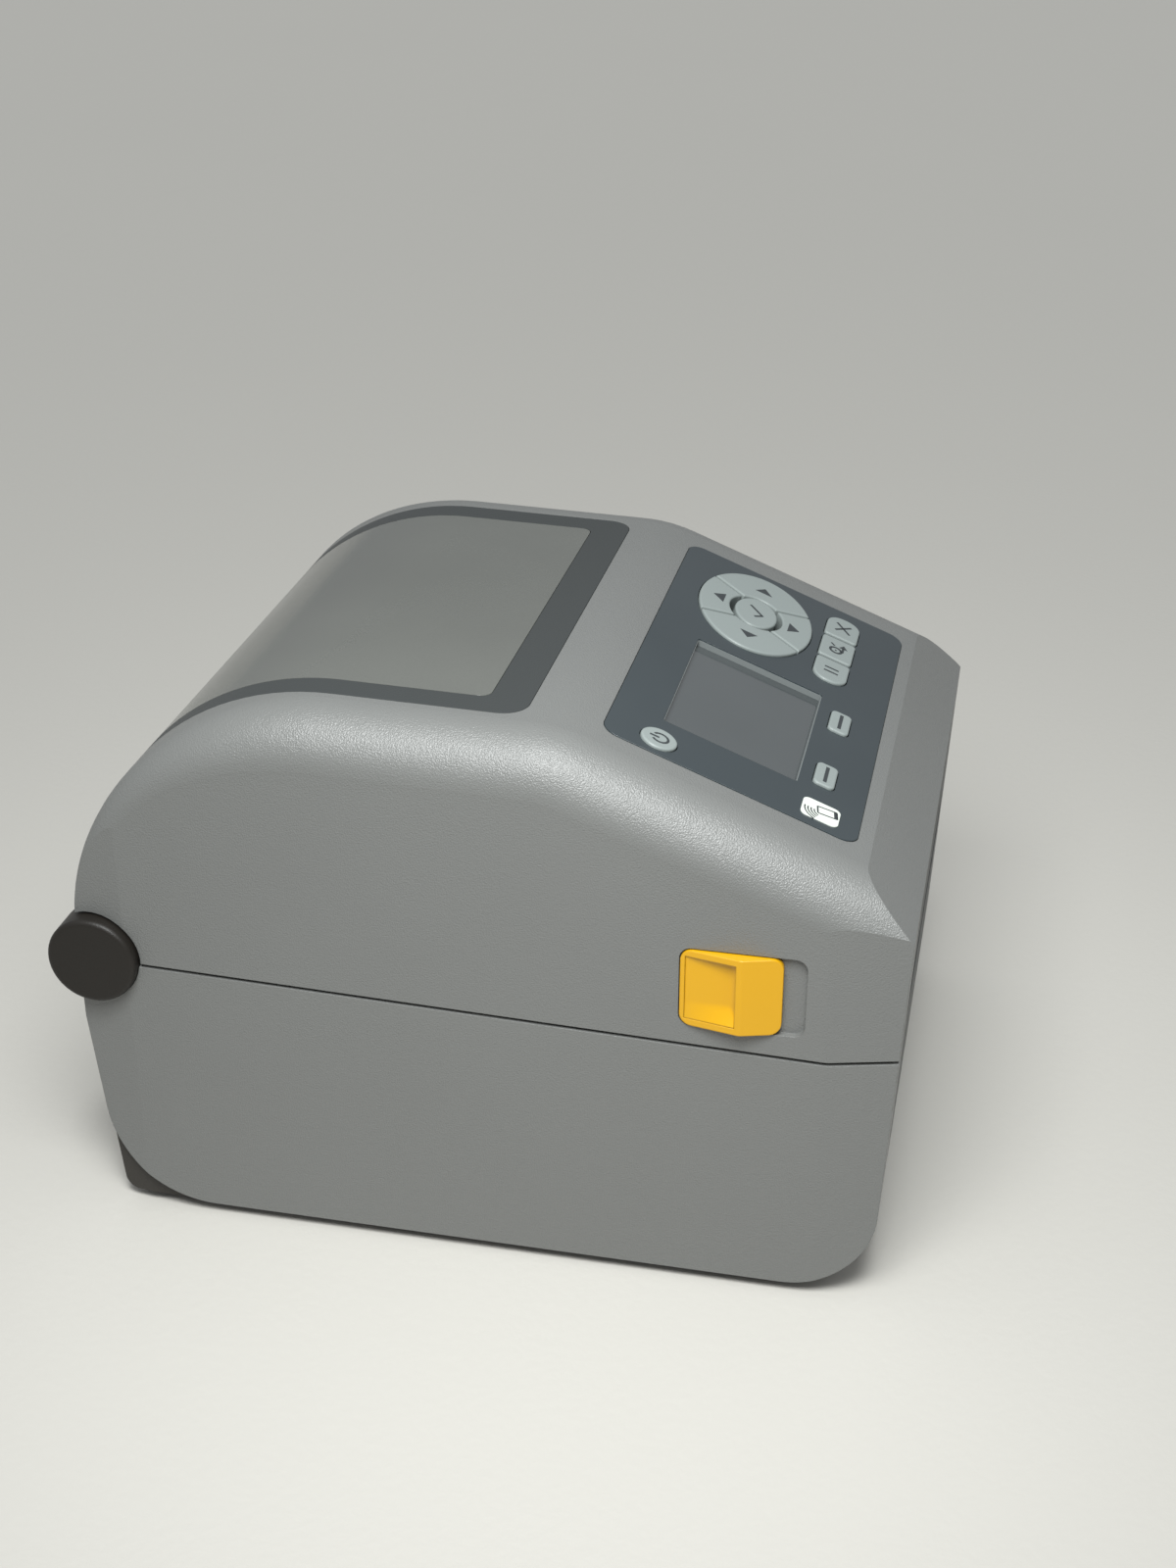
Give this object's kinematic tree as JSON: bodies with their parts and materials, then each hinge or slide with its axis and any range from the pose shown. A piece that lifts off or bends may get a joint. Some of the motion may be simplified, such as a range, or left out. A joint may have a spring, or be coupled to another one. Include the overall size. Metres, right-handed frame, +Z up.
{
  "type": "label printer",
  "caption": "Desktop direct-thermal label printer: hinged cover with a smoked window, sloping panel with screen and keys, slide latches, and a roll bay, platen drive and print head inside",
  "frame": {"origin": "middle of the overall box in plan, on the surface the rubber feet stand on", "axes": "+Z up, -Y towards the user (label exit), +X to the user's right"},
  "size_m": [0.177, 0.221, 0.151],
  "materials": {
    "case_grey": "fine moulded grain",
    "charcoal": "fine moulded grain",
    "bay_grey": "satin",
    "smoked": "smoked, glossy",
    "fascia": "gloss",
    "screen": "gloss",
    "key_grey": "satin",
    "badge": "satin",
    "latch_yellow": "satin",
    "soft_rubber": "matte",
    "board_green": "satin",
    "steel": "satin",
    "motor_case": "satin",
    "head_ceramic": "glazed line",
    "sink_aluminium": "satin",
    "gear_white": "satin",
    "pinion_brass": "machined",
    "socket_shell": "satin",
    "socket_metal": "plated"
  },
  "bodies": {
    "base": {"base_chassis": "charcoal", "left_side_panel": "case_grey", "right_side_panel": "case_grey", "front_bezel": "charcoal", "rubber_feet": "soft_rubber", "housing_screws": "steel", "hinge_caps": "charcoal", "hinge_pins": "steel", "latch_catches": "steel", "platen_bearings": "gear_white", "bearing_bracket": "steel", "drive_bracket": "steel", "motor_screws": "steel", "stepper_motor": "motor_case", "tear_bar": "steel", "media_bay": "bay_grey", "main_board": "board_green", "dc_power_jack": "socket_shell", "usb_device_port": "socket_metal", "usb_host_port": "socket_metal", "ethernet_port": "socket_metal", "serial_port": "socket_metal"},
    "cover": {"top_cover": "case_grey", "window_frame": "charcoal", "media_window": "smoked", "cover_front_bezel": "charcoal", "cover_inner_frame": "charcoal", "cover_screws": "steel", "printhead_pin": "steel", "printhead_springs": "steel", "control_panel": "fascia", "lcd_display": "screen", "panel_board": "board_green", "keypad_membrane": "soft_rubber", "panel_badge": "badge"},
    "head": {"printhead": "head_ceramic", "printhead_heatsink": "sink_aluminium", "printhead_bracket": "steel"},
    "latch_left_slider": {"latch_left": "latch_yellow"},
    "latch_right_slider": {"latch_right": "latch_yellow"},
    "platen": {"platen_roller": "soft_rubber", "platen_shaft": "steel", "platen_gear": "gear_white"},
    "idler": {"idler_gear": "gear_white"},
    "motor_rotor": {"motor_pinion": "pinion_brass"},
    "holder_left": {"roll_holder_left": "bay_grey"},
    "holder_right": {"roll_holder_right": "bay_grey"},
    "holder_pinion": {"rack_pinion": "gear_white"},
    "sensor": {"media_sensor": "socket_shell"},
    "power_key": {"power_button": "key_grey"},
    "left_select_key": {"left_select_button": "key_grey"},
    "right_select_key": {"right_select_button": "key_grey"},
    "up_key": {"up_button": "key_grey"},
    "down_key": {"down_button": "key_grey"},
    "left_key": {"left_button": "key_grey"},
    "right_key": {"right_button": "key_grey"},
    "ok_key": {"ok_button": "key_grey"},
    "pause_key": {"pause_button": "key_grey"},
    "feed_key": {"feed_button": "key_grey"},
    "cancel_key": {"cancel_button": "key_grey"}
  },
  "joints": [
    {"name": "cover_hinge", "type": "hinge", "parent": "base", "child": "cover", "pos_m": [0, 0.0985, 0.0775], "axis": [-1, 0, 0], "range_deg": [0, 80]},
    {"name": "latch_left_slide", "type": "slide", "parent": "cover", "child": "latch_left_slider", "axis": [0, -1, 0], "range_m": [0, 0.0055], "stiffness_N_per_m": 300, "springref_m": -0.003},
    {"name": "latch_right_slide", "type": "slide", "parent": "cover", "child": "latch_right_slider", "axis": [0, -1, 0], "range_m": [0, 0.0055], "stiffness_N_per_m": 300, "springref_m": -0.003},
    {"name": "printhead_tilt", "type": "hinge", "parent": "cover", "child": "head", "pos_m": [0, -0.078, 0.088], "axis": [-1, 0, 0], "range_deg": [0, 2], "stiffness_Nm_per_rad": 2, "springref_deg": -5.73},
    {"name": "platen_spin", "type": "hinge", "parent": "base", "child": "platen", "pos_m": [0, -0.09, 0.064], "axis": [1, 0, 0], "continuous": true},
    {"name": "idler_spin", "type": "hinge", "parent": "base", "child": "idler", "pos_m": [0.0735, -0.07528, 0.04765], "axis": [1, 0, 0], "continuous": true},
    {"name": "motor_spin", "type": "hinge", "parent": "base", "child": "motor_rotor", "pos_m": [0.0735, -0.05969, 0.03865], "axis": [1, 0, 0], "continuous": true},
    {"name": "holder_left_slide", "type": "slide", "parent": "base", "child": "holder_left", "axis": [1, 0, 0], "range_m": [0, 0.038]},
    {"name": "holder_right_slide", "type": "slide", "parent": "base", "child": "holder_right", "axis": [-1, 0, 0], "range_m": [0, 0.038]},
    {"name": "holder_pinion_spin", "type": "hinge", "parent": "base", "child": "holder_pinion", "pos_m": [0, 0.038, 0.0141], "axis": [0, 0, 1], "range_deg": [0, 273]},
    {"name": "sensor_slide", "type": "slide", "parent": "base", "child": "sensor", "axis": [1, 0, 0], "range_m": [-0.036, 0.036]},
    {"name": "power_press", "type": "slide", "parent": "cover", "child": "power_key", "axis": [0, 0.3673, -0.9301], "range_m": [0, 0.0008], "stiffness_N_per_m": 600, "springref_m": -0.0006},
    {"name": "left_select_press", "type": "slide", "parent": "cover", "child": "left_select_key", "axis": [0, 0.3673, -0.9301], "range_m": [0, 0.0008], "stiffness_N_per_m": 600, "springref_m": -0.0006},
    {"name": "right_select_press", "type": "slide", "parent": "cover", "child": "right_select_key", "axis": [0, 0.3673, -0.9301], "range_m": [0, 0.0008], "stiffness_N_per_m": 600, "springref_m": -0.0006},
    {"name": "up_press", "type": "slide", "parent": "cover", "child": "up_key", "axis": [0, 0.3673, -0.9301], "range_m": [0, 0.0008], "stiffness_N_per_m": 600, "springref_m": -0.0006},
    {"name": "down_press", "type": "slide", "parent": "cover", "child": "down_key", "axis": [0, 0.3673, -0.9301], "range_m": [0, 0.0008], "stiffness_N_per_m": 600, "springref_m": -0.0006},
    {"name": "left_press", "type": "slide", "parent": "cover", "child": "left_key", "axis": [0, 0.3673, -0.9301], "range_m": [0, 0.0008], "stiffness_N_per_m": 600, "springref_m": -0.0006},
    {"name": "right_press", "type": "slide", "parent": "cover", "child": "right_key", "axis": [0, 0.3673, -0.9301], "range_m": [0, 0.0008], "stiffness_N_per_m": 600, "springref_m": -0.0006},
    {"name": "ok_press", "type": "slide", "parent": "cover", "child": "ok_key", "axis": [0, 0.3673, -0.9301], "range_m": [0, 0.0008], "stiffness_N_per_m": 600, "springref_m": -0.0006},
    {"name": "pause_press", "type": "slide", "parent": "cover", "child": "pause_key", "axis": [0, 0.3673, -0.9301], "range_m": [0, 0.0008], "stiffness_N_per_m": 600, "springref_m": -0.0006},
    {"name": "feed_press", "type": "slide", "parent": "cover", "child": "feed_key", "axis": [0, 0.3673, -0.9301], "range_m": [0, 0.0008], "stiffness_N_per_m": 600, "springref_m": -0.0006},
    {"name": "cancel_press", "type": "slide", "parent": "cover", "child": "cancel_key", "axis": [0, 0.3673, -0.9301], "range_m": [0, 0.0008], "stiffness_N_per_m": 600, "springref_m": -0.0006}
  ],
  "couplings": [
    {"joint": "idler_spin", "follows": "platen_spin", "ratio": -0.83333},
    {"joint": "motor_spin", "follows": "platen_spin", "ratio": 1.6667},
    {"joint": "holder_right_slide", "follows": "holder_left_slide", "ratio": 1},
    {"joint": "holder_pinion_spin", "follows": "holder_left_slide", "rad_per_m": 125}
  ]
}
